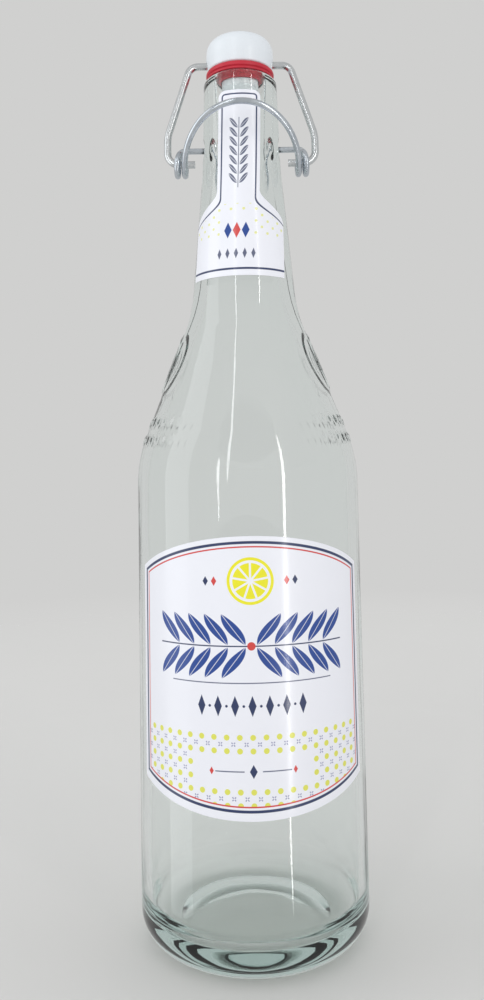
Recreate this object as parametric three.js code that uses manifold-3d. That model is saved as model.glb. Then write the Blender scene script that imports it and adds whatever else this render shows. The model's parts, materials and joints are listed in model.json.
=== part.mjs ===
// Swing-top lemonade bottle for 75 cl, in millimetres, +Z up. The origin is the middle of the base, and the
// thumb lever is at the front, towards -Y. The closure stands unlatched: the stopper rests on the mouth, and
// the lever is half raised.
import * as THREE from 'three';
import { mergeVertices } from 'three/addons/utils/BufferGeometryUtils.js';
import Module from 'manifold-3d';

// Glass outside: each height is the length of one stretch of the outline, from the base up.
const BODY_RADIUS = 39.25;
const BODY_HEIGHT = 162.8;
const SHOULDER_HEIGHT = 52.6;
const NECK_FOOT_RADIUS = 19.1;
const NECK_HEIGHT = 51.1;
const FINISH_FOOT_RADIUS = 14.5;
const FINISH_HEIGHT = 36;
const MOUTH_RADIUS = 13.5;
const HEEL_ROUND = 11;
const SHOULDER_ROUND = 48;
const NECK_FOOT_ROUND = 60;
const FINISH_FOOT_ROUND = 150;
const LIP_ROUND = 2;

// Glass inside and underneath.
const BODY_WALL = 3.1;
const NECK_WALL = 4;
const BORE_RADIUS = 8.85;
const BORE_ROUND = 1.2;
const BASE_THICKNESS = 7;
const INNER_HEEL_ROUND = 9;
const PUNT_HEIGHT = 4.5;
const PUNT_RADIUS = 25.5;
const PUNT_FLAT_RADIUS = 12;
const PUNT_ROUND = 40;

// Raised oval plaque on each side of the shoulder.
const PLAQUE_MIDDLE = 34;
const PLAQUE_WIDTH = 20;
const PLAQUE_HEIGHT = 24;
const PLAQUE_RAISE = 0.9;
const PLAQUE_ROOT = 1;

// Stopper and rubber ring: heights are measured from the mouth or from the head's underside.
const HEAD_LIFT = 3.5;
const HEAD_FOOT_RADIUS = 11.9;
const HEAD_RADIUS = 12.5;
const HEAD_BULGE = 5;
const HEAD_HEIGHT = 13;
const CROWN_RISE = 1;
const CROWN_RADIUS = 12;
const CROWN_ROUND = 7;
const HEAD_FOOT_ROUND = 0.8;
const PLUG_RADIUS = 6.7;
const PLUG_TIP_RADIUS = 5.2;
const PLUG_TAPER = 4;
const PLUG_LENGTH = 11.5;
const PLUG_TIP_ROUND = 1.5;
const RING_RADIUS = 12.6;
const RING_ROUND = 1.1;

// Bail: the thick wire through the stopper, hooked into the lever's eyelets.
const BAIL_WIRE = 2.7;
const BAIL_HOLE_LIFT = 3;
const BAIL_TOP_HALF = 18.5;
const BAIL_HALF = 27;
const BAIL_KNEE = 11;
const BAIL_STUB_HALF = 17;
const BAIL_TOP_ROUND = 4;
const BAIL_KNEE_ROUND = 15;
const BAIL_HOOK_ROUND = 4.5;

// Lever: the thinner wire. Its ends turn in blind dimples of the neck. Angles are seen from the side, up from
// level.
const LEVER_WIRE = 2.2;
const PIVOT_DROP = 25.9;
const DIMPLE_DEPTH = 2.9;
const DIMPLE_RADIUS = 3.2;
const EYE_REACH = 8.4;
const EYE_ANGLE = -54;
const EYE_RADIUS = 4;
const EYE_HALF = 23.4;
const EYE_SHIFT = 2.75;
const LEAD_ROUND = 2.5;
const THUMB_REACH = 26.4;
const THUMB_ANGLE = 19;

// Labels: widths run round the glass, and the neck label is turned and leans a little, as it was stuck on.
const LABEL_THICKNESS = 0.2;
const BODY_LABEL_FOOT = 50.6;
const BODY_LABEL_HEIGHT = 87;
const BODY_LABEL_WIDTH = 86.3;
const BODY_LABEL_TOP_BOW = 10.5;
const BODY_LABEL_FOOT_BOW = 7.9;
const NECK_LABEL_DROP = 8.5;
const NECK_LABEL_HEIGHT = 68.3;
const STRIP_WIDTH = 15.4;
const STRIP_ROUND = 2.5;
const COLLAR_WIDTH = 38;
const COLLAR_HEIGHT = 20.3;
const FLARE_HEIGHT = 11;
const COLLAR_TURN = -9.5;
const STRIP_TURN = -1.5;

// Clearances: between pieces that rest or turn on each other, and between paper and glass.
const FIT = 0.3;
const PAPER_GAP = 0.2;

// Fineness of the facets.
const GLASS_SEGMENTS = 40;
const STOPPER_SEGMENTS = 24;
const WIRE_SIDES = 8;
const WIRE_STEP = 1.2;
const ARC_STEP = THREE.MathUtils.degToRad(15);
const LABEL_COLUMNS = 12;
const LABEL_ROW = 5;

const WELD = 1e-4;
const shoulderFoot = BODY_HEIGHT;
const neckFoot = shoulderFoot + SHOULDER_HEIGHT;
const finishFoot = neckFoot + NECK_HEIGHT;
const mouth = finishFoot + FINISH_HEIGHT;
const headFoot = mouth + HEAD_LIFT;

const wasm = await Module();
wasm.setup();

// A solid for cutting and joining, from a closed geometry.
function solidOf(geometry) {
  const bare = geometry.clone();
  bare.deleteAttribute('normal');
  bare.deleteAttribute('uv');
  const welded = mergeVertices(bare, WELD);
  const corners = welded.index.array;
  const triangles = [];
  for (let i = 0; i < corners.length; i += 3) {
    const [a, b, c] = corners.slice(i, i + 3);
    if (a !== b && b !== c && c !== a) {
      triangles.push(a, b, c);
    }
  }
  return new wasm.Manifold(new wasm.Mesh({
    numProp: 3,
    vertProperties: new Float32Array(welded.getAttribute('position').array),
    triVerts: new Uint32Array(triangles),
  }));
}

// The geometry of a finished solid.
function geometryOf(solid) {
  const { vertProperties, triVerts } = solid.getMesh();
  const geometry = new THREE.BufferGeometry();
  geometry.setAttribute('position', new THREE.BufferAttribute(vertProperties, 3));
  geometry.setIndex(new THREE.BufferAttribute(triVerts, 1));
  return geometry;
}

// A curve swept through an angle: at(angle) gives its points.
class Sweep extends THREE.Curve {
  constructor(turn, at) {
    super();
    this.turn = turn;
    this.at = at;
  }

  getPoint(t, target = new THREE.Vector3()) {
    return target.copy(this.at(t * this.turn));
  }
}

// Straight stretches between corners, with a round bend at each inner corner that has a radius.
function bentPath(corners) {
  const curves = [];
  let start = corners[0].at;
  for (let i = 1; i < corners.length - 1; i += 1) {
    const { at, round } = corners[i];
    const before = corners[i - 1].at.clone().sub(at).normalize();
    const after = corners[i + 1].at.clone().sub(at).normalize();
    const half = before.angleTo(after) / 2;
    const reach = round / Math.tan(half);
    const bendStart = before.clone().multiplyScalar(reach).add(at);
    curves.push(new THREE.LineCurve3(start, bendStart));
    if (round > 0) {
      const centre = before.clone().add(after).setLength(round / Math.sin(half)).add(at);
      const spoke = bendStart.clone().sub(centre);
      const along = before.clone().multiplyScalar(-round);
      curves.push(new Sweep(Math.PI - 2 * half, (angle) => centre.clone()
        .addScaledVector(spoke, Math.cos(angle))
        .addScaledVector(along, Math.sin(angle))));
    }
    start = after.clone().multiplyScalar(reach).add(at);
  }
  curves.push(new THREE.LineCurve3(start, corners.at(-1).at));
  return curves;
}

// The points of an outline for turning, from corners of [radius, height, round].
function outline(corners) {
  const curves = bentPath(corners.map(([r, z, round = 0]) => ({ at: new THREE.Vector3(r, z, 0), round })));
  const points = [curves[0].getPoint(0)];
  for (const curve of curves) {
    const steps = curve instanceof Sweep ? Math.ceil(curve.turn / ARC_STEP) : 1;
    for (let i = 1; i <= steps; i += 1) {
      points.push(curve.getPoint(i / steps));
    }
  }
  return points.map(({ x, y }) => new THREE.Vector2(x, y));
}

// A body turned about the Z axis.
function turned(points, segments) {
  return new THREE.LatheGeometry(points, segments).rotateX(Math.PI / 2);
}

// A round rod along X, centred on a place, with a radius at its inner and at its outer end.
function rodAlongX(inner, outer, length, x, z) {
  const rod = new THREE.CylinderGeometry(inner, outer, length, 2 * WIRE_SIDES);
  return rod.rotateZ(Math.PI / 2).translate(x, 0, z);
}

// Glass: the outside runs from the standing ring to the lip, the inside from the lip down to the middle of
// the base.
const outside = outline([
  [PUNT_RADIUS, 0],
  [BODY_RADIUS, 0, HEEL_ROUND],
  [BODY_RADIUS, shoulderFoot, SHOULDER_ROUND],
  [NECK_FOOT_RADIUS, neckFoot, NECK_FOOT_ROUND],
  [FINISH_FOOT_RADIUS, finishFoot, FINISH_FOOT_ROUND],
  [MOUTH_RADIUS, mouth, LIP_ROUND],
  [(MOUTH_RADIUS + BORE_RADIUS) / 2, mouth],
]);
const underside = outline([
  [0, PUNT_HEIGHT],
  [PUNT_FLAT_RADIUS, PUNT_HEIGHT, PUNT_ROUND],
  [PUNT_RADIUS, 0],
]);
const inside = outline([
  [(MOUTH_RADIUS + BORE_RADIUS) / 2, mouth],
  [BORE_RADIUS, mouth, BORE_ROUND],
  [BORE_RADIUS, finishFoot, FINISH_FOOT_ROUND],
  [NECK_FOOT_RADIUS - NECK_WALL, neckFoot, NECK_FOOT_ROUND],
  [BODY_RADIUS - BODY_WALL, shoulderFoot, SHOULDER_ROUND],
  [BODY_RADIUS - BODY_WALL, BASE_THICKNESS, INNER_HEEL_ROUND],
  [PUNT_FLAT_RADIUS, PUNT_HEIGHT + BASE_THICKNESS, PUNT_ROUND],
  [0, PUNT_HEIGHT + BASE_THICKNESS],
]);

// Outer radius of the glass at a height above the heel.
function glassRadius(z) {
  const above = outside.findIndex((point, i) => i > 0 && point.y >= z && point.y > outside[i - 1].y);
  const [low, high] = [outside[above - 1], outside[above]];
  return THREE.MathUtils.mapLinear(z, low.y, high.y, low.x, high.x);
}

// A raised oval that follows the shoulder on the +X side, rooted a little way into the glass.
function plaque() {
  const middle = shoulderFoot + PLAQUE_MIDDLE;
  const heights = [-1, -0.5, 0, 0.5, 1].map((share) => middle + share * PLAQUE_HEIGHT);
  const skin = (offset) => heights.map((z) => new THREE.Vector2(glassRadius(z) + offset, z));
  const band = [...skin(PLAQUE_RAISE), ...skin(-PLAQUE_ROOT).reverse()];
  band.push(band[0]);
  const oval = new THREE.Shape().absellipse(0, 0, PLAQUE_WIDTH / 2, PLAQUE_HEIGHT / 2, 0, 2 * Math.PI);
  const stamp = new THREE.ExtrudeGeometry(oval, {
    depth: BODY_RADIUS,
    curveSegments: 2 * WIRE_SIDES,
    bevelEnabled: false,
  });
  const [xAxis, yAxis, zAxis] = [[1, 0, 0], [0, 1, 0], [0, 0, 1]].map((axis) => new THREE.Vector3(...axis));
  stamp.applyMatrix4(new THREE.Matrix4().makeBasis(yAxis, zAxis, xAxis)).translate(0, 0, middle);
  return solidOf(turned(band, GLASS_SEGMENTS)).intersect(solidOf(stamp));
}

const pivotHeight = mouth - PIVOT_DROP;
const dimpleFloor = glassRadius(pivotHeight) - DIMPLE_DEPTH;

// The dimples are cones: as wide as the pin at the floor, wider at the glass's surface.
function glassGeometry() {
  let glass = solidOf(turned([...underside, ...outside.slice(1), ...inside.slice(1)], GLASS_SEGMENTS));
  const relief = plaque();
  const seat = LEVER_WIRE / 2 + FIT;
  const dimple = solidOf(rodAlongX(
    seat,
    2 * DIMPLE_RADIUS - seat,
    2 * DIMPLE_DEPTH,
    dimpleFloor + DIMPLE_DEPTH,
    pivotHeight,
  ));
  for (const side of [0, 180]) {
    glass = glass.add(relief.rotate([0, 0, side]));
    glass = glass.subtract(dimple.rotate([0, 0, side]));
  }
  return geometryOf(glass);
}

// Stopper: plug, head and crown in one moulding, with the hole for the bail across it.
const bailHeight = headFoot + BAIL_HOLE_LIFT;

function stopperGeometry() {
  const plugFoot = headFoot - PLUG_LENGTH;
  const moulding = outline([
    [0, plugFoot],
    [PLUG_TIP_RADIUS, plugFoot, PLUG_TIP_ROUND],
    [PLUG_RADIUS, plugFoot + PLUG_TAPER, PLUG_TIP_ROUND],
    [PLUG_RADIUS, headFoot],
    [HEAD_FOOT_RADIUS, headFoot, HEAD_FOOT_ROUND],
    [HEAD_RADIUS, headFoot + HEAD_BULGE, HEAD_BULGE],
    [CROWN_RADIUS, headFoot + HEAD_HEIGHT - CROWN_RISE, CROWN_ROUND],
    [0, headFoot + HEAD_HEIGHT],
  ]);
  const holeRadius = BAIL_WIRE / 2 + FIT;
  const hole = rodAlongX(holeRadius, holeRadius, 3 * HEAD_RADIUS, 0, bailHeight);
  return geometryOf(solidOf(turned(moulding, STOPPER_SEGMENTS)).subtract(solidOf(hole)));
}

// Rubber ring round the plug, between the lip and the underside of the head.
function gasketGeometry() {
  const [low, high, bore] = [mouth + FIT, headFoot - FIT, PLUG_RADIUS + FIT];
  return turned(outline([
    [bore, low],
    [RING_RADIUS, low, RING_ROUND],
    [RING_RADIUS, high, RING_ROUND],
    [bore, high],
    [bore, low],
  ]), STOPPER_SEGMENTS);
}

// A place seen from the side: distance out to the right, reach towards the front, and height.
function place(x, reach, z) {
  return new THREE.Vector3(x, -reach, z);
}

// The place at a distance and angle from the lever's pivot, in the side view.
function fromPivot(x, distance, degrees) {
  const angle = THREE.MathUtils.degToRad(degrees);
  return place(x, distance * Math.cos(angle), pivotHeight + distance * Math.sin(angle));
}

const eye = fromPivot(0, EYE_REACH, EYE_ANGLE);

// Half of a symmetric wire, and its other half in reverse, as one run.
function bothHalves(half) {
  const flip = new THREE.Vector3(-1, 1, 1);
  const left = half.map((curve) => new Sweep(1, (t) => curve.getPoint(t).multiply(flip)));
  const right = half.toReversed().map((curve) => new Sweep(1, (t) => curve.getPoint(1 - t)));
  return [...left, ...right];
}

function wirePath(half) {
  const path = new THREE.CurvePath();
  bothHalves(half).forEach((curve) => path.add(curve));
  return path;
}

function wireGeometry(path, diameter) {
  const corners = Array.from({ length: WIRE_SIDES }, (_, i) => (2 * Math.PI * (i + 0.5)) / WIRE_SIDES);
  const radius = diameter / 2;
  const onCircle = (angle) => new THREE.Vector2(radius * Math.cos(angle), radius * Math.sin(angle));
  const section = corners.map(onCircle);
  const steps = Math.round(path.getLength() / WIRE_STEP);
  return new THREE.ExtrudeGeometry(new THREE.Shape(section), { steps, extrudePath: path });
}

// Bail: it lies in the plane that holds the hole across the stopper and the middle of both eyelets.
function bailGeometry() {
  const top = place(0, 0, bailHeight);
  const up = top.clone().sub(eye).normalize();
  const inPlane = (x, rise) => eye.clone().addScaledVector(up, rise).setX(x);
  const height = top.distanceTo(eye);
  const half = bentPath([
    { at: inPlane(BAIL_STUB_HALF, 0) },
    { at: inPlane(BAIL_HALF, 0), round: BAIL_HOOK_ROUND },
    { at: inPlane(BAIL_HALF, BAIL_KNEE), round: BAIL_KNEE_ROUND },
    { at: inPlane(BAIL_TOP_HALF, height), round: BAIL_TOP_ROUND },
    { at: inPlane(0, height) },
  ]);
  return wireGeometry(wirePath(half), BAIL_WIRE);
}

// Angle of the tangent from a point to the eyelet's circle, which the wire goes round with the front turning
// upwards.
function tangentAngle(point, leaving) {
  const [reach, rise] = [eye.y - point.y, point.z - eye.z];
  const towards = Math.atan2(rise, reach);
  const lean = Math.asin(EYE_RADIUS / Math.hypot(reach, rise));
  return leaving ? towards + lean : towards + Math.PI - lean;
}

// Lever: from the pin in its dimple out to the eyelet, once and a bit round it, and up to the middle of the
// thumb arch.
function leverPath() {
  const pinEnd = place(dimpleFloor + FIT, 0, pivotHeight);
  const corner = place(EYE_HALF, 0, pivotHeight);
  const thumb = fromPivot(0, THUMB_REACH, THUMB_ANGLE);
  const entry = tangentAngle(corner, false) - Math.PI / 2;
  const exit = tangentAngle(thumb, true) - Math.PI / 2;
  const fullTurn = 2 * Math.PI;
  const overlap = THREE.MathUtils.euclideanModulo(exit - entry, fullTurn);
  const onEye = (angle) => {
    const shift = EYE_SHIFT * THREE.MathUtils.smoothstep(angle, overlap, fullTurn);
    const around = place(0, EYE_RADIUS * Math.cos(entry + angle), EYE_RADIUS * Math.sin(entry + angle));
    return around.add(eye).setX(EYE_HALF - shift);
  };
  const archFoot = onEye(fullTurn + overlap);
  const archRise = thumb.clone().sub(archFoot).setX(0);
  const arch = new Sweep(Math.PI / 2, (angle) => archFoot.clone()
    .addScaledVector(archRise, Math.sin(angle))
    .setX(archFoot.x * Math.cos(angle)));
  return wirePath([
    ...bentPath([{ at: pinEnd }, { at: corner, round: LEAD_ROUND }, { at: onEye(0) }]),
    new Sweep(fullTurn + overlap, onEye),
    arch,
  ]);
}

// Least gap between stretches of one wire that lie more than half a turn of an eyelet apart along it.
function leastGap(path, diameter) {
  const count = Math.round(2 * path.getLength());
  const points = path.getSpacedPoints(count);
  const apart = Math.ceil((Math.PI * EYE_RADIUS * count) / path.getLength());
  let least = Infinity;
  points.forEach((point, i) => {
    for (let j = i + apart; j < points.length; j += 1) {
      least = Math.min(least, point.distanceTo(points[j]) - diameter);
    }
  });
  return least;
}

const lever = leverPath();
console.log(`lever wire: least gap to itself ${leastGap(lever, LEVER_WIRE).toFixed(2)} mm`);

// A sheet of paper on the glass: rows of [distance round the glass, height, turn of the row's middle].
function paperGeometry(rows) {
  const columns = rows[0].length;
  const positions = [];
  for (const lift of [PAPER_GAP, PAPER_GAP + LABEL_THICKNESS]) {
    for (const [across, z, turn] of rows.flat()) {
      const radius = glassRadius(z);
      const angle = across / radius + THREE.MathUtils.degToRad(turn);
      positions.push(...place((radius + lift) * Math.sin(angle), (radius + lift) * Math.cos(angle), z));
    }
  }
  const back = (row, column) => row * columns + column;
  const front = (row, column) => back(row, column) + rows.length * columns;
  const index = [];
  const quad = (a, b, c, d) => index.push(a, b, c, a, c, d);
  const last = { row: rows.length - 1, column: columns - 1 };
  for (let r = 0; r < last.row; r += 1) {
    for (let c = 0; c < last.column; c += 1) {
      quad(front(r, c), front(r, c + 1), front(r + 1, c + 1), front(r + 1, c));
      quad(back(r, c), back(r + 1, c), back(r + 1, c + 1), back(r, c + 1));
    }
    quad(back(r, 0), front(r, 0), front(r + 1, 0), back(r + 1, 0));
    quad(front(r, last.column), back(r, last.column), back(r + 1, last.column), front(r + 1, last.column));
  }
  for (let c = 0; c < last.column; c += 1) {
    quad(back(0, c), back(0, c + 1), front(0, c + 1), front(0, c));
    quad(front(last.row, c), front(last.row, c + 1), back(last.row, c + 1), back(last.row, c));
  }
  const geometry = new THREE.BufferGeometry();
  geometry.setAttribute('position', new THREE.Float32BufferAttribute(positions, 3));
  geometry.setIndex(index);
  return geometry;
}

// Even places across a width, from one edge to the other.
function across(width, count) {
  return Array.from({ length: count + 1 }, (_, i) => width * (i / count - 0.5));
}

// How far a bowed edge falls short of its middle, at a distance from that middle.
function bowDrop(bow, width, distance) {
  const radius = ((width / 2) ** 2 + bow ** 2) / (2 * bow);
  return radius - Math.sqrt(radius ** 2 - distance ** 2);
}

function bodyLabelGeometry() {
  const places = across(BODY_LABEL_WIDTH, LABEL_COLUMNS + LABEL_COLUMNS / 2);
  const foot = (s) => BODY_LABEL_FOOT + bowDrop(BODY_LABEL_FOOT_BOW, BODY_LABEL_WIDTH, s);
  const top = (s) => BODY_LABEL_FOOT + BODY_LABEL_HEIGHT - bowDrop(BODY_LABEL_TOP_BOW, BODY_LABEL_WIDTH, s);
  return paperGeometry([places.map((s) => [s, foot(s), 0]), places.map((s) => [s, top(s), 0])]);
}

// Neck label: a level collar, an S-shaped flare and a strip with rounded top corners.
function neckLabelGeometry() {
  const top = mouth - NECK_LABEL_DROP;
  const foot = top - NECK_LABEL_HEIGHT;
  const roundFoot = top - STRIP_ROUND;
  const width = (z) => {
    const flare = THREE.MathUtils.clamp((z - foot - COLLAR_HEIGHT) / FLARE_HEIGHT, 0, 1);
    const share = (1 + Math.cos(Math.PI * flare)) / 2;
    const corner = Math.max(z - roundFoot, 0);
    const trim = STRIP_ROUND - Math.sqrt(STRIP_ROUND ** 2 - corner ** 2);
    return STRIP_WIDTH + share * (COLLAR_WIDTH - STRIP_WIDTH) - 2 * trim;
  };
  const stretch = (from, to, row) => {
    const count = Math.ceil((to - from) / row);
    return Array.from({ length: count }, (_, i) => from + ((to - from) * i) / count);
  };
  const heights = [
    ...stretch(foot, foot + COLLAR_HEIGHT, LABEL_ROW),
    ...stretch(foot + COLLAR_HEIGHT, foot + COLLAR_HEIGHT + FLARE_HEIGHT, LABEL_ROW / 2),
    ...stretch(foot + COLLAR_HEIGHT + FLARE_HEIGHT, roundFoot, LABEL_ROW),
    ...[0, 0.5, 0.85, 1].map((share) => roundFoot + share * STRIP_ROUND),
  ];
  return paperGeometry(heights.map((z) => {
    const turn = THREE.MathUtils.mapLinear(z, foot, top, COLLAR_TURN, STRIP_TURN);
    return across(width(z), LABEL_COLUMNS).map((s) => [s, z, turn]);
  }));
}

const clearGlass = new THREE.MeshStandardMaterial({ color: 0xdbe6e2, roughness: 0.03, metalness: 0 });
const whiteMoulding = new THREE.MeshStandardMaterial({ color: 0xe6e9ec, roughness: 0.4, metalness: 0 });
const redRubber = new THREE.MeshStandardMaterial({ color: 0xc8283c, roughness: 0.6, metalness: 0 });
const bailZinc = new THREE.MeshStandardMaterial({ color: 0xd9dcdc, roughness: 0.35, metalness: 0.9 });
const leverZinc = new THREE.MeshStandardMaterial({ color: 0xcfd3d4, roughness: 0.32, metalness: 0.9 });
const bodyPaper = new THREE.MeshStandardMaterial({ color: 0xf2f3f8, roughness: 0.5, metalness: 0 });
const neckPaper = new THREE.MeshStandardMaterial({ color: 0xf0f1f6, roughness: 0.5, metalness: 0 });

function piece(name, geometry, material) {
  const mesh = new THREE.Mesh(geometry, material);
  mesh.name = name;
  return mesh;
}

const bottle = new THREE.Group();
bottle.add(
  piece('glass_bottle', glassGeometry(), clearGlass),
  piece('stopper', stopperGeometry(), whiteMoulding),
  piece('gasket', gasketGeometry(), redRubber),
  piece('bail_wire', bailGeometry(), bailZinc),
  piece('lever_wire', wireGeometry(lever, LEVER_WIRE), leverZinc),
  piece('body_label', bodyLabelGeometry(), bodyPaper),
  piece('neck_label', neckLabelGeometry(), neckPaper),
);

export default bottle;
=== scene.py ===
# %% [markdown]
# # A swing-top lemonade bottle
#
# The part is an empty bottle of clear glass with a wire closure and two paper labels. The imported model
# gives the seven pieces as plain solids in their real places, and this lesson dresses each of them: it
# makes a finer mesh in the same place and a material that behaves like the real one. Everything is in
# metres, with the bottle standing on z = 0 and its labels towards -Y.

# %% Load the frame
import json
import math

import bpy
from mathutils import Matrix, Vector, noise


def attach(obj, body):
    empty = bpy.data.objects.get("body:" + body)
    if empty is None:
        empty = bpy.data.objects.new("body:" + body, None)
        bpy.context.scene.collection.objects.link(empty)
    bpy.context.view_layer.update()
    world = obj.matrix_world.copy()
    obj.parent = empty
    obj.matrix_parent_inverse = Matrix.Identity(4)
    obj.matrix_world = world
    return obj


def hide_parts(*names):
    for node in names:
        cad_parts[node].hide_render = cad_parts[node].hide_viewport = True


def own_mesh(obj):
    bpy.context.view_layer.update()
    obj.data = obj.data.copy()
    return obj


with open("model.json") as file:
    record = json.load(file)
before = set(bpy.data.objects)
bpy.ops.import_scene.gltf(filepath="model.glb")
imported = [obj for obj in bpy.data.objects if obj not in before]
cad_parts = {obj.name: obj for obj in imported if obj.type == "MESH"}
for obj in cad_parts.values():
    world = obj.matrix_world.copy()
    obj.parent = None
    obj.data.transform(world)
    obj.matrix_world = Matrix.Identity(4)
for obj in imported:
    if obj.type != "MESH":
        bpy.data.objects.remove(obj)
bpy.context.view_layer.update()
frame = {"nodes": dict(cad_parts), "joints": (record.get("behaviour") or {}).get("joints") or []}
bpy.ops.object.select_all(action="DESELECT")
MM = 0.001
scene = bpy.context.scene
scene.view_settings.view_transform = "Standard"
joint_at = {joint["name"]: Vector(joint["pos_m"]) for joint in frame["joints"]}
print("nodes:", sorted(frame["nodes"]), "joints:", sorted(joint_at))

# %% [markdown]
# ## The camera
#
# The picture was taken from close by, a little above the middle of the label, so the bottle's sides lean
# together and every level edge shows as an arc. The lens is given in pixels of a picture 1000 pixels
# high, and Blender wants it in millimetres on its 36 mm sensor. The lens points above the middle of the
# picture, which is what the shift says, and the camera is rolled by one degree.

# %% Camera
PICTURE_HEIGHT = 1000
LENS_PIXELS = 900
LENS_ROW = 400
SENSOR = 36
CAMERA_PLACE = (-0.0015, -0.3255, 0.1576)
CAMERA_PITCH = math.radians(4.6)
CAMERA_ROLL = math.radians(-1.07)

bpy.ops.object.camera_add(location=CAMERA_PLACE)
camera = bpy.context.object
camera.name = "camera"
camera.rotation_mode = "ZXY"
camera.rotation_euler = (math.pi / 2 + CAMERA_PITCH, 0, CAMERA_ROLL)
camera.data.sensor_width = SENSOR
camera.data.lens = SENSOR * LENS_PIXELS / PICTURE_HEIGHT
camera.data.shift_y = LENS_ROW / PICTURE_HEIGHT - 0.5
camera.data.clip_start = 10 * MM
scene.camera = camera
print("lens", round(camera.data.lens, 1), "mm, shift", round(camera.data.shift_y, 3))

# %% [markdown]
# ## Sums on sockets
#
# A procedural material is a long sum: distances, masks and mixes. Wiring Math nodes one by one hides
# that sum, so this small class wraps a socket and lets Python's own operators add the nodes. `1 - mask`
# works too, because each operator has its reflected form. Every other node comes from the method `node`,
# which sets the node's own settings first and then its sockets.

# %% A socket that can be used in sums
class Field:
    """An output socket of a node tree. Arithmetic on it adds Math nodes."""

    def __init__(self, tree, socket=None):
        self.tree = tree
        self.socket = socket

    def feed(self, target, value):
        """Links a field into a socket, or sets the socket to a plain value."""
        if isinstance(value, Field):
            self.tree.links.new(value.socket, target)
        else:
            target.default_value = value

    def node(self, kind, settings, inputs, output=0):
        made = self.tree.nodes.new(kind)
        for name, value in settings.items():
            setattr(made, name, value)
        for name, value in inputs.items():
            self.feed(made.inputs[name], value)
        return Field(self.tree, made.outputs[output])

    def math(self, operation, first, second=0.0, clamp=False):
        settings = {"operation": operation, "use_clamp": clamp}
        return self.node("ShaderNodeMath", settings, {0: first, 1: second})

    def __add__(self, other):
        return self.math("ADD", self, other)

    def __radd__(self, other):
        return self.math("ADD", other, self)

    def __sub__(self, other):
        return self.math("SUBTRACT", self, other)

    def __rsub__(self, other):
        return self.math("SUBTRACT", other, self)

    def __mul__(self, other):
        return self.math("MULTIPLY", self, other)

    def __rmul__(self, other):
        return self.math("MULTIPLY", other, self)

    def __truediv__(self, other):
        return self.math("DIVIDE", self, other)

    def __pow__(self, other):
        return self.math("POWER", self, other)

    def size(self):
        return self.math("ABSOLUTE", self)

    def least(self, other):
        return self.math("MINIMUM", self, other)

    def most(self, other):
        return self.math("MAXIMUM", self, other)

    def fold(self, width):
        """A zigzag between 0 and width."""
        return self.math("PINGPONG", self, width)

    def below(self, limit, soft):
        """1 where the field is under the limit and 0 above it, with a soft step between."""
        return self.math("ADD", (limit - self) * (1 / soft), 0.5, clamp=True)

    def reach(self, other):
        """The length of the step made by two fields at right angles."""
        return (self * self + other * other) ** 0.5

    def mix(self, under, over):
        """The colour under, turned into the colour over where this field is 1."""
        settings = {"data_type": "RGBA"}
        return self.node("ShaderNodeMix", settings, {0: self, 6: under, 7: over}, output=2)


def colour(red, green, blue):
    """A colour written as on a screen, 0 to 255, as the linear colour that shaders take."""
    def linear(value):
        share = value / 255
        return share / 12.92 if share <= 0.04045 else ((share + 0.055) / 1.055) ** 2.4
    return (linear(red), linear(green), linear(blue), 1)


class Finish:
    """A new material: its shader, and a place to start sums from."""

    def __init__(self, name, **constants):
        self.material = bpy.data.materials.new(name)
        self.material.use_nodes = True
        self.tree = self.material.node_tree
        self.shader = self.tree.nodes["Principled BSDF"]
        self.start = Field(self.tree)
        for socket, value in constants.items():
            self.set(socket.replace("_", " "), value)

    def set(self, socket, value):
        self.start.feed(self.shader.inputs[socket], value)

    def place(self):
        """Where a point lies in the part's own frame."""
        return self.start.node("ShaderNodeTexCoord", {}, {}, output="Object")

    def cloud(self, scale, detail=2.0, stretch=(1, 1, 1)):
        """Soft noise between 0 and 1, with scale waves to the metre."""
        stretched = self.start.node("ShaderNodeMapping", {}, {"Vector": self.place(), "Scale": stretch})
        inputs = {"Vector": stretched, "Scale": scale, "Detail": detail}
        return self.start.node("ShaderNodeTexNoise", {}, inputs)

    def give_way(self, share, kind, inputs):
        """Puts another shader in place of the material's own where share is 1."""
        own = Field(self.tree, self.shader.outputs["BSDF"])
        other = self.start.node(kind, {}, inputs)
        both = self.start.node("ShaderNodeMixShader", {}, {0: share, 1: own, 2: other})
        self.start.feed(self.tree.nodes["Material Output"].inputs["Surface"], both)

    def bump(self, height, depth):
        """Shades the surface as if it stood depth metres proud where height is 1."""
        inputs = {"Height": height, "Strength": 1.0, "Distance": depth}
        self.set("Normal", self.start.node("ShaderNodeBump", {}, inputs))


print("shader sums ready")

# %% [markdown]
# ## The studio
#
# The bottle stands on a pale floor in an even room. The floor is whole near the bottle, where it takes
# the shadow, and fades out further away, and the room has the floor's tone wherever it is seen directly,
# mirrored or through glass. So no horizon shows from any side. Clear glass is seen only by what it
# reflects and bends, so softboxes are added for it: a wide one at the left, four narrow ones that draw
# bright upright streaks, and a fill at the back. They mirror in the glass but aren't seen through it,
# where they would stand as white walls, and the fill isn't mirrored either, because it would draw a
# white line along every edge. The floor is left out of mirrored views, where the room's like tone stands
# for it, so that the streaks run on down to the heel. The label's soft shine looks for each lamp
# instead, and there the floor still hides the far strips from the label's lower half, so the lowest
# strip stands close by, just above the floor, and only mirrors. A softbox is given by its brightness,
# and its power follows from its size. Light runs to and fro many times inside a thick base before it
# comes out, so paths may have many bounces: with the usual few, the base would show black patches.

# %% Floor, room and softboxes
FLOOR_WHOLE = 0.3
FLOOR_END = 0.9
FLOOR_DROP = -0.05 * MM
FLOOR_COLOUR = colour(217, 215, 212)
FLOOR_MOTTLE = colour(213, 211, 208)
ROOM_SEEN = colour(208, 208, 207)
ROOM_LIGHT = (0.75, 0.77, 0.79, 1)
AIM = Vector((0, 0, 0.16))

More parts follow.
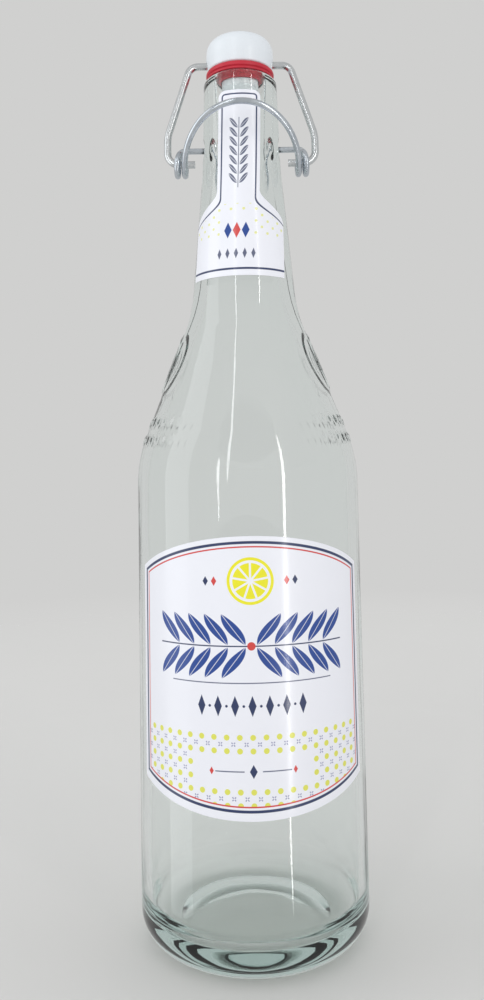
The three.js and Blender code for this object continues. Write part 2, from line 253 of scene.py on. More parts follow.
bpy.ops.mesh.primitive_plane_add(size=2 * FLOOR_END, location=(0, 0, FLOOR_DROP))
floor = bpy.context.object
floor.name = "studio_floor"
bpy.ops.object.transform_apply(location=True, rotation=True, scale=True)
floor.visible_glossy = False
floor_paint = Finish("studio_floor", Roughness=0.9, Specular_IOR_Level=0.0)
floor_paint.set("Base Color", floor_paint.cloud(scale=6).mix(FLOOR_MOTTLE, FLOOR_COLOUR))
outwards = {0: floor_paint.place()}
length = {"operation": "LENGTH"}
distance = floor_paint.start.node("ShaderNodeVectorMath", length, outwards, output="Value")
there = distance.below((FLOOR_WHOLE + FLOOR_END) / 2, FLOOR_END - FLOOR_WHOLE)
floor_paint.give_way(1 - there, "ShaderNodeBsdfTransparent", {})
floor.data.materials.append(floor_paint.material)

scene.world = bpy.data.worlds.new("room")
scene.world.use_nodes = True
room = Field(scene.world.node_tree)
seen = 0
for ray in ("Is Camera Ray", "Is Glossy Ray", "Is Transmission Ray"):
    seen = seen + room.node("ShaderNodeLightPath", {}, {}, output=ray)
background = scene.world.node_tree.nodes["Background"]
room.feed(background.inputs["Color"], seen.mix(ROOM_LIGHT, ROOM_SEEN))
scene.cycles.max_bounces = 32
scene.cycles.glossy_bounces = 16
scene.cycles.transmission_bounces = 24


def softbox(name, shape, azimuth, elevation, distance, size, brightness, tint=(1, 1, 1)):
    """A flat lamp that faces the bottle. Azimuth 0 is towards the camera, 90 to the right."""
    a = math.radians(azimuth)
    e = math.radians(elevation)
    out = Vector((math.sin(a) * math.cos(e), -math.cos(a) * math.cos(e), math.sin(e)))
    turn = out.to_track_quat("Z", "Y").to_euler()
    bpy.ops.object.light_add(type="AREA", location=AIM + out * distance, rotation=turn)
    lamp = bpy.context.object
    lamp.name = name
    lamp.visible_camera = False
    lamp.visible_transmission = False
    lamp.data.shape = shape
    lamp.data.size, lamp.data.size_y = size
    area = size[0] * size[1] * (math.pi / 4 if shape == "ELLIPSE" else 1)
    lamp.data.energy = brightness * math.pi * area
    lamp.data.color = tint
    return lamp


# Name, shape, azimuth, elevation, distance, size, brightness and tint of each lamp.
lamps = [
    softbox("window_left", "RECTANGLE", -77, 8, 1.5, (0.8, 2.3), 1.2, (0.95, 0.98, 1)),
    softbox("strip_right", "ELLIPSE", 35, 4, 1.2, (0.065, 1.6), 12, (1, 0.99, 0.97)),
    softbox("strip_left", "ELLIPSE", -29, 8, 1.2, (0.055, 0.5), 9, (0.97, 0.99, 1)),
    softbox("strip_front", "ELLIPSE", -20, 28, 1.2, (0.05, 1.2), 7.5, (0.97, 0.99, 1)),
    softbox("strip_low", "RECTANGLE", 32.2, -25.6, 0.241, (0.01, 0.119), 12, (1, 0.99, 0.97)),
    softbox("fill_back", "ELLIPSE", 170, 30, 1.5, (1.3, 1.0), 1.4),
]
strip_low, fill_back = lamps[-2:]
strip_low.visible_diffuse = False
fill_back.visible_glossy = False
print("softboxes:", [lamp.name for lamp in lamps])

# %% [markdown]
# ## Drawing outlines and turning them
#
# Glass, stopper and rubber ring are round about the bottle's axis, so each is drawn as half a cross-
# section and spun once round. The outline is drawn as by hand: one vertex is extruded along the straight
# stretches, and at a rounded corner it is spun about the middle of the round. Bevelling a sharp outline
# would do too, but the spin gives true arcs, which reflections in glass show.

# %% Helpers for turned pieces
ARC_STEP = math.radians(6)
WELD = 0.001 * MM


def start_piece(name):
    """A new mesh at the origin: a plane drawn together to one vertex, selected in edit mode."""
    bpy.ops.object.select_all(action="DESELECT")
    bpy.ops.mesh.primitive_plane_add(size=MM)
    piece = bpy.context.object
    piece.name = name
    piece.data.name = name
    bpy.ops.object.mode_set(mode="EDIT")
    bpy.ops.mesh.merge(type="CENTER")
    return piece


def draw_straight(start, end, step):
    """Extrudes the selected vertex from start to end in even steps."""
    way = end - start
    if way.length > WELD:
        count = max(1, round(way.length / step))
        for _ in range(count):
            bpy.ops.mesh.extrude_vertices_move(TRANSFORM_OT_translate={"value": way / count})


def draw_outline(corners):
    """Draws edges through corners of (radius, height, round, step), from the selected vertex on."""
    places = [Vector((radius, 0, height)) * MM for radius, height, _, _ in corners]
    start = places[0]
    for before, here, after, (_, _, bend, step) in zip(places, places[1:], places[2:], corners[1:]):
        back = (before - here).normalized()
        ahead = (after - here).normalized()
        turn = math.pi - back.angle(ahead)
        reach = bend * MM * math.tan(turn / 2)
        draw_straight(start, here + back * reach, step * MM)
        if bend:
            middle = here + (back + ahead).normalized() * (bend * MM / math.cos(turn / 2))
            steps = max(math.ceil(turn / ARC_STEP), round(turn * bend / step))
            bpy.ops.mesh.spin(steps=steps, angle=turn, center=middle, axis=back.cross(ahead))
        start = here + ahead * reach
    draw_straight(start, places[-1], corners[-1][3] * MM)


def close_mesh():
    """Merges doubled vertices of the mesh in edit mode and turns its faces outwards."""
    bpy.ops.mesh.select_all(action="SELECT")
    bpy.ops.mesh.remove_doubles(threshold=WELD)
    bpy.ops.mesh.normals_make_consistent(inside=False)
    bpy.ops.object.mode_set(mode="OBJECT")


def turn_solid(segments):
    """Spins the outline in edit mode once round the Z axis and closes it."""
    bpy.ops.mesh.select_all(action="SELECT")
    bpy.ops.mesh.spin(steps=segments, angle=math.tau, center=(0, 0, 0), axis=(0, 0, 1))
    close_mesh()


def smooth(piece, degrees=40):
    """Shades a piece smooth, apart from edges sharper than an angle."""
    bpy.ops.object.select_all(action="DESELECT")
    bpy.context.view_layer.objects.active = piece
    piece.select_set(True)
    bpy.ops.object.shade_smooth_by_angle(angle=math.radians(degrees))


def apply_modifier(piece, kind, **settings):
    """Adds a modifier with its settings and applies it."""
    modifier = piece.modifiers.new(kind.lower(), kind)
    for name, value in settings.items():
        setattr(modifier, name, value)
    bpy.context.view_layer.objects.active = piece
    bpy.ops.object.modifier_apply(modifier=modifier.name)


def dress(piece, body, node, slot, *finishes):
    """Gives a piece its materials and its place in the part."""
    for finish in finishes:
        piece.data.materials.append(finish.material)
    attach(piece, body)
    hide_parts(node)
    print(piece.name, "has", len(piece.data.polygons), "faces")


print("helpers ready")

# %% [markdown]
# ## The glass
#
# The bottle is one piece of moulded glass: a thick base with a punt, a heel, a straight body, a sloping
# shoulder, a slim neck and a rounded lip. Inside and outside are drawn as one line, because only a
# closed wall of the real thickness bends light as glass does. The shoulder and the upper neck are drawn
# in short steps, because the mould's relief is pressed into them next.

# %% Glass outline, spun
MOUTH = 302.5
FINISH_FOOT = 266.5
FINISH_FOOT_RADIUS = 14.5
MOUTH_RADIUS = 13.5
GLASS_SEGMENTS = 320


def on_finish(height, step):
    """A place on the straight stretch below the mouth, where the rows change their step."""
    share = (height - FINISH_FOOT) / (MOUTH - FINISH_FOOT)
    return (FINISH_FOOT_RADIUS + (MOUTH_RADIUS - FINISH_FOOT_RADIUS) * share, height, 0, step)


GLASS_OUTSIDE = [
    (0, 4.5, 0, 3),
    (12, 4.5, 40, 3),
    (25.5, 0, 1.5, 2),
    (39.25, 0, 11, 2),
    (39.25, 150, 0, 12),
    (39.25, 162.8, 48, 0.8),
    (19.1, 215.4, 60, 0.7),
    (FINISH_FOOT_RADIUS, FINISH_FOOT, 150, 6),
    on_finish(271.8, 1),
    on_finish(281.4, 0.4),
    (MOUTH_RADIUS, MOUTH, 2, 3),
    (11.2, MOUTH, 0, 1),
]
GLASS_INSIDE = [
    (11.2, MOUTH, 0, 1),
    (8.85, MOUTH, 1.2, 1),
    (8.85, FINISH_FOOT, 150, 12),
    (15.1, 215.4, 60, 6),
    (36.15, 162.8, 48, 6),
    (36.15, 7, 9, 16),
    (12, 11.5, 40, 4),
    (0, 11.5, 0, 4),
]

glass = start_piece("clear_glass")
bpy.ops.transform.translate(value=(0, 0, GLASS_OUTSIDE[0][1] * MM))
draw_outline(GLASS_OUTSIDE)
glass.update_from_editmode()
profile = sorted((v.co.z, v.co.x) for v in glass.data.vertices if v.co.z > GLASS_OUTSIDE[0][1] * MM)
draw_outline(GLASS_INSIDE)
turn_solid(GLASS_SEGMENTS)


def glass_radius(z):
    """Outer radius of the glass at a height above the heel."""
    above = next(i for i, point in enumerate(profile) if point[0] >= z)
    (low, low_radius), (high, high_radius) = profile[above - 1], profile[above]
    return low_radius + (high_radius - low_radius) * (z - low) / (high - low)


print("glass:", len(glass.data.polygons), "faces, radius at mid height", glass_radius(0.1))

# %% [markdown]
# ## Relief of the mould
#
# The mould leaves its marks on the outside: a fine seam up each side, an oval medallion on each shoulder
# with two rows of small lozenges below it, and a blind dimple in each side of the neck, where the
# lever's pins turn. Separate pieces or Boolean cuts would leave hard edges that hot glass never has, so
# the skin itself is moved: a vertex group holds how far each vertex goes, and a Displace modifier pushes
# it. The inside of a blown bottle is never quite even, and one more group makes it wavy.

# %% Press the relief
SEAM_TOP = 262
SEAM_RAISE = 0.12
SEAM_EDGE = (0.1, 0.7)
MEDALLION_MIDDLE = 196.8
MEDALLION_HALF = (10, 12)
MEDALLION_RAISE = 0.6
RIM_INSET = 2.4
DISH_INSET = 4.4
DISH_SHARE = 0.35
SLICE_RADIUS = 5.4
SLICE_SEGMENTS = 8
SLICE_RAISE = 0.25
PEEL_EDGE = (0.2, 1)
FLESH_EDGE = (0.2, 0.9)
FLESH_END = (SLICE_RADIUS - 2.2, SLICE_RADIUS - 1.2)
LOZENGE_ROWS = (169.3, 175.5)
LOZENGE_PITCH = 4.2
LOZENGE_HALF = (1.5, 2.6)
LOZENGE_REACH = 31
LOZENGE_RAISE = 0.35
LOZENGE_EDGE = (0.3, 1)
WAVE_RAISE = 0.45
WAVES_TO_METRE = 45
LEVER_WIRE = 2.2
FIT = 0.3
DIMPLE_DEPTH = 2.9
DIMPLE_RADIUS = 4.7
SEAT_RADIUS = LEVER_WIRE / 2 + FIT

pivot = joint_at["lever_swing"]
dimple_floor = glass_radius(pivot.z) - DIMPLE_DEPTH * MM


def step_up(value, low, high):
    """0 below low, 1 above high, and smooth between."""
    share = min(max((value - low) / (high - low), 0), 1)
    return share * share * (3 - 2 * share)


def medallion(across, up):
    """Height of a medallion with a rim and a fruit slice in it, at a place from its middle."""
    inset = (1 - math.hypot(across / MEDALLION_HALF[0], up / MEDALLION_HALF[1])) * MEDALLION_HALF[0]
    dish = 1 - DISH_SHARE * step_up(inset, RIM_INSET, DISH_INSET)
    rim = MEDALLION_RAISE * step_up(inset, 0, RIM_INSET) * dish
    radius = math.hypot(across, up)
    peel = 1 - step_up(abs(radius - SLICE_RADIUS), *PEEL_EDGE)
    half_segment = math.pi / SLICE_SEGMENTS
    turn = math.atan2(up, across) % (2 * half_segment)
    from_edge = radius * (half_segment - abs(turn - half_segment))
    flesh = step_up(from_edge, *FLESH_EDGE) * (1 - step_up(radius, *FLESH_END))
    return rim + SLICE_RAISE * max(peel, flesh)


def lozenges(across, up):
    """Height of the rows of raised lozenges, at a place from the middle of one side."""
    along = (across + LOZENGE_PITCH / 2) % LOZENGE_PITCH - LOZENGE_PITCH / 2
    nearest = min(abs(up - row) for row in LOZENGE_ROWS)
    share = abs(along) / LOZENGE_HALF[0] + nearest / LOZENGE_HALF[1]
    shown = abs(across) < LOZENGE_REACH
    return LOZENGE_RAISE * (1 - step_up(share, *LOZENGE_EDGE)) if shown else 0


def side_place(place):
    """Distance round the glass from the nearer side, and height, in millimetres."""
    return math.hypot(place.x, place.y) / MM * math.atan2(place.y, abs(place.x)), place.z / MM


def relief(place):
    """How far the glass stands proud at a place on its outside, in millimetres."""
    across, up = side_place(place)
    seam = SEAM_RAISE * (1 - step_up(abs(across), *SEAM_EDGE)) if up < SEAM_TOP else 0
    return max(seam, medallion(across, up - MEDALLION_MIDDLE), lozenges(across, up))


def dimple(place):
    """Share of a dimple's full depth at a place on the neck."""
    across, up = side_place(place)
    return 1 - step_up(math.hypot(across, up - pivot.z / MM), SEAT_RADIUS, DIMPLE_RADIUS)


proud = glass.vertex_groups.new(name="proud")
sunk = glass.vertex_groups.new(name="sunk")
wavy = glass.vertex_groups.new(name="wavy")
HEEL_TOP = 14 * MM
WAVE_TOP = 250 * MM
RELIEF_TOP = 290 * MM
for vertex in glass.data.vertices:
    place = vertex.co
    if HEEL_TOP < place.z < RELIEF_TOP:
        if math.hypot(place.x, place.y) > glass_radius(place.z) - MM:
            proud.add([vertex.index], relief(place), "REPLACE")
            sunk.add([vertex.index], dimple(place), "REPLACE")
        elif place.z < WAVE_TOP:
            wave = 0.5 + 0.5 * noise.noise(place * WAVES_TO_METRE)
            wavy.add([vertex.index], wave, "REPLACE")
for group, raise_by in (("proud", 1), ("sunk", -DIMPLE_DEPTH), ("wavy", WAVE_RAISE)):
    apply_modifier(glass, "DISPLACE", strength=raise_by * MM, mid_level=0, vertex_group=group)
smooth(glass)
print("relief pressed, dimple floor at x =", round(dimple_floor / MM, 2), "mm")

# %% [markdown]
# ## Glass finish
#
# Soda glass is clear with a breath of green that only shows where light goes a long way through it, as
# in the base and along the outline. A tinted surface would colour thin walls too, so the green is put
# inside the wall as an absorbing volume. A shallow bump keeps the reflections from being too straight,
# and upright smears of handling make the surface a little less than perfectly smooth. A path tracer
# finds lamps through bent glass only by chance, so rays that ask for lamps pass straight through, and
# what is inside the bottle gets its light.

# %% Clear glass
clear = Finish("clear_glass", IOR=1.5, Transmission_Weight=1.0)
smears = clear.cloud(scale=60, detail=4, stretch=(1, 1, 0.15))
clear.set("Base Color", smears.mix((0.97, 0.985, 0.98, 1), (0.99, 1, 0.995, 1)))
clear.set("Roughness", smears.below(limit=0.5, soft=0.3) * 0.02 + 0.005)
ripples = clear.cloud(scale=70, detail=1, stretch=(1, 1, 0.2))
clear.bump(ripples, depth=0.14 * MM)
green = {"Color": (0.33, 0.57, 0.53, 1), "Density": 12}
absorbing = clear.start.node("ShaderNodeVolumeAbsorption", {}, green)
clear.start.feed(clear.tree.nodes["Material Output"].inputs["Volume"], absorbing)
lamp_ray = clear.start.node("ShaderNodeLightPath", {}, {}, output="Is Shadow Ray")
clear.give_way(lamp_ray, "ShaderNodeBsdfTransparent", {"Color": (0.93, 0.945, 0.94, 1)})
dress(glass, "bottle", "glass_bottle", "glass", clear)

# %% [markdown]
# ## The stopper
#
# A white moulded head sits on the mouth, with a plug below it that hangs in the bore and shows through
# the glass. It is turned like the glass, and the hole for the bail is bored across it with a Boolean:
# here a hard edge is right. The drill has 50 sides, so that none of its corners meets a corner of the
# stopper, where a Boolean would leave stray faces.

# %% Stopper
STOPPER_LINE = [
    (0, 294.5, 0, 2),
    (5.2, 294.5, 1.5, 2),
    (6.7, 298.5, 1.5, 2),
    (6.7, 306, 0.4, 2),
    (11.9, 306, 0.8, 2),
    (12.5, 311, 5, 1),
    (12.1, 318.1, 5.2, 1),
    (0, 319, 0, 1),
]
STOPPER_SEGMENTS = 128
BAIL_WIRE = 2.7
DRILL_SIDES = 50
DRILL_LENGTH = 40

stopper = start_piece("white_stopper")
bpy.ops.transform.translate(value=(0, 0, STOPPER_LINE[0][1] * MM))
draw_outline(STOPPER_LINE)
turn_solid(STOPPER_SEGMENTS)
hole = joint_at["stopper_tilt"]
bpy.ops.object.select_all(action="DESELECT")
drill_radius = (BAIL_WIRE / 2 + FIT) * MM
along_x = (0, math.pi / 2, 0)
bpy.ops.mesh.primitive_cylinder_add(
    vertices=DRILL_SIDES,
    radius=drill_radius,
    depth=DRILL_LENGTH * MM,
    location=hole,
    rotation=along_x,
)
drill = bpy.context.object
apply_modifier(stopper, "BOOLEAN", object=drill, operation="DIFFERENCE", solver="EXACT")
bpy.data.objects.remove(drill)
smooth(stopper)

moulded = Finish("white_moulding", IOR=1.46, Coat_Weight=0.15, Coat_Roughness=0.2)
flow = moulded.cloud(scale=90, detail=3, stretch=(1, 1, 0.3))
specks = moulded.cloud(scale=2600, detail=2)
moulded.set("Base Color", flow.mix(colour(223, 228, 233), colour(233, 236, 239)))
moulded.set("Roughness", flow * 0.12 + 0.3)
moulded.bump(specks, depth=0.01 * MM)
dress(stopper, "stopper", "stopper", "stopper_white", moulded)

# %% [markdown]
# ## The rubber ring
#
# A red ring sits on the plug under the head and seals on the lip. Its edge has a round bead with a
# thinner rim below it, and a sleeve round the plug goes a little way into the mouth, where it shows red
# through the glass. When the lever closes, the real ring is squeezed; this one simply goes with the
# head.

# %% Rubber ring
RING_BORE = 7
RING_FOOT = 302.8
RING_TOP = 305.7
RIM_RADIUS = 12.3
BEAD_RADIUS = 12.6
SLEEVE_RADIUS = 7.7
SLEEVE_FOOT = 300.7
RING_LINE = [
    (RING_BORE, SLEEVE_FOOT, 0, 1),
    (SLEEVE_RADIUS, SLEEVE_FOOT, 0.3, 1),
    (SLEEVE_RADIUS, RING_FOOT, 0.4, 1),
    (RIM_RADIUS, RING_FOOT, 0.4, 1),
    (RIM_RADIUS, 303.7, 0.35, 1),
    (11.8, 303.85, 0.1, 1),
    (BEAD_RADIUS, 304, 0.6, 1),
    (BEAD_RADIUS, RING_TOP, 0.7, 1),
    (RING_BORE, RING_TOP, 0, 1),
    (RING_BORE, SLEEVE_FOOT, 0, 1),
]
RING_SEGMENTS = 128

ring = start_piece("rubber_ring")
bpy.ops.transform.translate(value=(RING_LINE[0][0] * MM, 0, RING_LINE[0][1] * MM))
draw_outline(RING_LINE)
turn_solid(RING_SEGMENTS)
smooth(ring)

rubber = Finish("red_rubber", IOR=1.5)
bloom = rubber.cloud(scale=160, detail=4)
rubber.set("Base Color", bloom.mix(colour(184, 22, 44), colour(204, 36, 58)))
rubber.set("Roughness", bloom * 0.2 + 0.35)
rubber.bump(rubber.cloud(scale=1800), depth=0.02 * MM)
dress(ring, "stopper", "gasket", "ring_red", rubber)
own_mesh(ring)

# %% [markdown]
# ## The two wires
#
# The thick bail goes through the stopper and hooks into the lever's eyelets. The thinner lever has its
# pins in the dimples, winds once round at each side and rises to the thumb arch. Both are symmetric, so
# only the right half of each is worked out: straight stretches and bends for the bail, a helix and a
# quarter of an ellipse for the lever. A curve object with a round bevel then makes the wire, and its
# sharp cut ends are bevelled.

# %% Bend and draw the wires
BEND_STEP = math.radians(7)
WIRE_RING = 8
CUT_ANGLE = math.radians(60)
CUT_BEVEL = 0.35
SMOOTH_DEGREES = 50


def bend_path(corners):
    """Points along straight stretches through corners of (place, round), with round bends."""
    points = [corners[0][0]]
    for (before, _), (here, bend), (after, _) in zip(corners, corners[1:], corners[2:]):
        back = (before - here).normalized()
        ahead = (after - here).normalized()
        turn = math.pi - back.angle(ahead)
        middle = here + (back + ahead).normalized() * (bend / math.cos(turn / 2))
        spoke = here + back * bend * math.tan(turn / 2) - middle
        steps = math.ceil(turn / BEND_STEP)
        for i in range(steps + 1):
            angle = turn * i / steps
            points.append(middle + spoke * math.cos(angle) - back * bend * math.sin(angle))
    return points + [corners[-1][0]]


def draw_wire(name, right_half, diameter):
    """A round wire through the points of its right half and their mirror image, in metres."""
    left_half = [Vector((-p.x, p.y, p.z)) for p in right_half]
    points = left_half + right_half[-2::-1]
    bpy.ops.object.select_all(action="DESELECT")
    bpy.ops.curve.primitive_nurbs_path_add()
    wire = bpy.context.object
    wire.name = name
    wire.data.splines.clear()
    line = wire.data.splines.new("POLY")
    line.points.add(len(points) - 1)
    for knot, point in zip(line.points, points):
        knot.co = (*point, 1)
    wire.data.bevel_depth = diameter / 2
    wire.data.bevel_resolution = WIRE_RING
    wire.data.use_fill_caps = True
    bpy.ops.object.convert(target="MESH")
    wire.data.name = name
    bpy.ops.object.mode_set(mode="EDIT")
    close_mesh()
    cut = {"width": CUT_BEVEL * MM, "segments": 3, "limit_method": "ANGLE", "angle_limit": CUT_ANGLE}
    apply_modifier(wire, "BEVEL", **cut)
    smooth(wire, SMOOTH_DEGREES)
    return wire


BAIL_TOP_HALF = 18.5 * MM
BAIL_HALF = 27 * MM
BAIL_KNEE = 11 * MM
BAIL_STUB_HALF = 17 * MM
BAIL_ROUNDS = (4.5 * MM, 15 * MM, 4 * MM)

eye = joint_at["bail_swing"]
rise = hole - eye
upwards = rise.normalized()


def on_bail(x, height):
    """A place in the bail's plane, at a distance to the right and a height above the eyelets."""
    return eye + upwards * height + Vector((x, 0, 0))


bail_half = bend_path([
    (on_bail(BAIL_STUB_HALF, 0), 0),
    (on_bail(BAIL_HALF, 0), BAIL_ROUNDS[0]),
    (on_bail(BAIL_HALF, BAIL_KNEE), BAIL_ROUNDS[1]),
    (on_bail(BAIL_TOP_HALF, rise.length), BAIL_ROUNDS[2]),
    (on_bail(0, rise.length), 0),
])
bail = draw_wire("bail_wire_bent", bail_half, BAIL_WIRE * MM)

EYE_RADIUS = 4 * MM
EYE_HALF = 23.4 * MM
EYE_SHIFT = 2.75 * MM
LEAD_ROUND = 2.5 * MM
THUMB_REACH = 26.4 * MM
THUMB_ANGLE = math.radians(19)
EYE_STEPS = 80
ARCH_STEPS = 40

thumb = pivot + Vector((0, -math.cos(THUMB_ANGLE), math.sin(THUMB_ANGLE))) * THUMB_REACH
lead_corner = Vector((EYE_HALF, 0, pivot.z))


def tangent_angle(point, leaving):
    """Angle round the eyelet where a straight run from the point touches it, seen from the side."""
    forward = eye.y - point.y
    up = point.z - eye.z
    lean = math.asin(EYE_RADIUS / math.hypot(forward, up))
    towards = math.atan2(up, forward)
    along = towards + lean if leaving else towards + math.pi - lean
    return along - math.pi / 2


entry = tangent_angle(lead_corner, False)
overlap = (tangent_angle(thumb, True) - entry) % math.tau


def on_eye(angle):
    """A place on the wound eyelet, which moves inwards as it comes round."""
    shift = EYE_SHIFT * step_up(angle, overlap, math.tau)
    around = Vector((0, -math.cos(entry + angle), math.sin(entry + angle))) * EYE_RADIUS
    return eye + around + Vector((EYE_HALF - shift, 0, 0))


pin_end = Vector((dimple_floor + FIT * MM, 0, pivot.z))
lever_half = bend_path([(pin_end, 0), (lead_corner, LEAD_ROUND), (on_eye(0), 0)])
wound = math.tau + overlap
lever_half += [on_eye(wound * i / EYE_STEPS) for i in range(1, EYE_STEPS + 1)]
arch_foot = lever_half[-1]
for i in range(1, ARCH_STEPS + 1):
    angle = math.pi / 2 * i / ARCH_STEPS
    point = arch_foot.lerp(thumb, math.sin(angle))
    point.x = arch_foot.x * math.cos(angle)
    lever_half.append(point)
lever = draw_wire("lever_wire_wound", lever_half, LEVER_WIRE * MM)
print("bail of", len(bail_half), "points and lever of", len(lever_half), "points to a half")

# %% [markdown]
# ## Zinc finish
#
# Both wires are galvanised: pale grey metal, brighter where it is rubbed and dull where the zinc has
# weathered. The clouding changes colour and roughness together, and a fine bump gives the drawn surface
# its grain.

# %% Galvanised wire
def galvanised(name, dull, bright, rough):
    zinc = Finish(name, Metallic=1.0)
    weather = zinc.cloud(scale=240, detail=2)
    grain = zinc.cloud(scale=1500, detail=3)
    zinc.set("Base Color", weather.mix(dull, bright))
    zinc.set("Roughness", weather * 0.12 + rough)
    zinc.bump(grain, depth=0.005 * MM)
    return zinc


bail_zinc = galvanised("bail_zinc", colour(186, 190, 193), colour(230, 232, 233), rough=0.2)
lever_zinc = galvanised("lever_zinc", colour(170, 178, 187), colour(220, 225, 230), rough=0.18)
dress(bail, "bail", "bail_wire", "bail_zinc", bail_zinc)
dress(lever, "lever", "lever_wire", "lever_zinc", lever_zinc)

# %% [markdown]
# ## Paper round the glass
#
# Both labels are single sheets of paper glued to the glass. A flat grid has the sheet's columns and
# rows, and each of its vertices goes to its place round the bottle: a distance across the sheet becomes
# an angle at the glass's radius there. The same flat distances are written to a UV map, so that the
# print can be drawn on the flat sheet in millimetres, as a printer would. Solidify then gives the paper
# its thickness. The faces that it adds come after the printed ones, and take the second material, a
# plain back.

# %% Stick a sheet on the glass
PAPER_THICKNESS = 0.2
PAPER_LIFT = 0.4
SHEET_UNIT = 100


def stick_paper(name, columns, rows, on_sheet):
    """A sheet of paper. on_sheet turns (-1..1 across, 0..1 up) into (across, height, turn, foot)."""
    bpy.ops.object.select_all(action="DESELECT")
    bpy.ops.mesh.primitive_grid_add(x_subdivisions=columns, y_subdivisions=rows, size=2)
    sheet = bpy.context.object
    sheet.name = name
    sheet.data.name = name
    flat = {}
    for vertex in sheet.data.vertices:
        across, height, turn, foot = on_sheet(vertex.co.x, (vertex.co.y + 1) / 2)
        radius = glass_radius(height * MM)
        angle = across * MM / radius + math.radians(turn)
        out = radius + PAPER_LIFT * MM
        vertex.co = (out * math.sin(angle), -out * math.cos(angle), height * MM)
        flat[vertex.index] = (across / SHEET_UNIT, (height - foot) / SHEET_UNIT)
    uv_map = sheet.data.uv_layers.active
    uv_map.name = "sheet"
    for loop in sheet.data.loops:
        uv_map.data[loop.index].uv = flat[loop.vertex_index]
    printed = len(sheet.data.polygons)
    apply_modifier(sheet, "SOLIDIFY", thickness=PAPER_THICKNESS * MM, offset=-1)
    for face in sheet.data.polygons:
        face.material_index = int(face.index >= printed)
    smooth(sheet)
    return sheet


BODY_LABEL_FOOT = 50.6
BODY_LABEL_HEIGHT = 87
BODY_LABEL_HALF = 43.15
TOP_BOW_RADIUS = 93.9
FOOT_BOW_RADIUS = 121.8


def bow_drop(radius, across):
    """How far a bowed edge falls short of its middle."""
    return radius - math.sqrt(radius * radius - across * across)


def on_body_sheet(side, up):
    across = side * BODY_LABEL_HALF
    foot = BODY_LABEL_FOOT + bow_drop(FOOT_BOW_RADIUS, across)
    top = BODY_LABEL_FOOT + BODY_LABEL_HEIGHT - bow_drop(TOP_BOW_RADIUS, across)
    return across, foot + (top - foot) * up, 0, BODY_LABEL_FOOT


NECK_LABEL_FOOT = 225.7
NECK_LABEL_HEIGHT = 68.3
STRIP_HALF = 7.7
STRIP_ROUND = 2.5
COLLAR_HALF = 19
COLLAR_HEIGHT = 20.3
FLARE_HEIGHT = 11
COLLAR_TURN = -9.5
STRIP_TURN = -1.5


def on_neck_sheet(side, up):
    rise = NECK_LABEL_HEIGHT * (1 - (1 - up) ** 2)
    flare = min(max((rise - COLLAR_HEIGHT) / FLARE_HEIGHT, 0), 1)
    half = STRIP_HALF + (COLLAR_HALF - STRIP_HALF) * (1 + math.cos(math.pi * flare)) / 2
    corner = max(rise - NECK_LABEL_HEIGHT + STRIP_ROUND, 0)
    half -= bow_drop(STRIP_ROUND, min(corner, STRIP_ROUND))
    turn = COLLAR_TURN + (STRIP_TURN - COLLAR_TURN) * rise / NECK_LABEL_HEIGHT
    return side * half, NECK_LABEL_FOOT + rise, turn, NECK_LABEL_FOOT


body_label = stick_paper("body_label_sheet", columns=96, rows=72, on_sheet=on_body_sheet)
neck_label = stick_paper("neck_label_sheet", columns=32, rows=140, on_sheet=on_neck_sheet)
print("labels:", len(body_label.data.polygons), "and", len(neck_label.data.polygons), "faces")

# %% [markdown]
# ## Ink on paper
#
# The print is drawn by the material: each motif is a distance worked out from the place on the sheet,
# and ink covers the paper where that distance is small enough. An image would do the same, but distances
# stay sharp at any size. Coated paper has a soft shine over a slightly uneven sheet, with fibres too
# fine to see one by one.

# %% A sheet to print on
NAVY = colour(30, 47, 92)
BLUE = colour(12, 64, 146)
RED = colour(214, 62, 58)
LEMON = colour(240, 233, 16)
PALE_LEMON = colour(226, 226, 92)
FAINT_LEMON = colour(233, 233, 158)
SLATE = colour(92, 98, 124)
FAINT_SLATE = colour(150, 152, 184)
WHITE = colour(243, 243, 249)
INK_EDGE = 0.12
LEAF_GAP = 0.4
VEIN_HALF = 0.1
VEIN_SHARE = 0.8
MARK_HALF = 0.26
MARK_SPAN = (0.3, 1)


class Print(Finish):
    """Coated paper, with ink laid over it layer by layer."""

    def __init__(self, name):
        super().__init__(name, IOR=1.48, Coat_Roughness=0.16)
        self.across = self.on_sheet("X")
        self.up = self.on_sheet("Y")
        self.layer = self.cloud(scale=70, detail=3).mix(colour(239, 239, 246), WHITE)

    def on_sheet(self, axis):
        uv = self.start.node("ShaderNodeUVMap", {"uv_map": "sheet"}, {})
        return self.start.node("ShaderNodeSeparateXYZ", {}, {"Vector": uv}, output=axis) * SHEET_UNIT

    def ink(self, mask, tone):
        self.layer = mask.mix(self.layer, tone)

    def dry(self):
        """Joins the layers and the shine of coated paper to the shader."""
        fibres = self.cloud(scale=1600, detail=3)
        ripples = self.cloud(scale=60, detail=1)
        self.set("Base Color", self.layer)
        self.set("Roughness", fibres * 0.12 + 0.36)
        self.set("Coat Weight", fibres * 0.2 + 0.45)
        self.bump(ripples + fibres * 0.05, depth=0.06 * MM)


def stripe(distance, middle, width):
    """1 within half a width of the middle."""
    return (distance - middle).size().below(width / 2, INK_EDGE)


def lozenge(across, up, half_width, half_height):
    return (across.size() / half_width + up.size() / half_height).below(1, INK_EDGE / half_width)


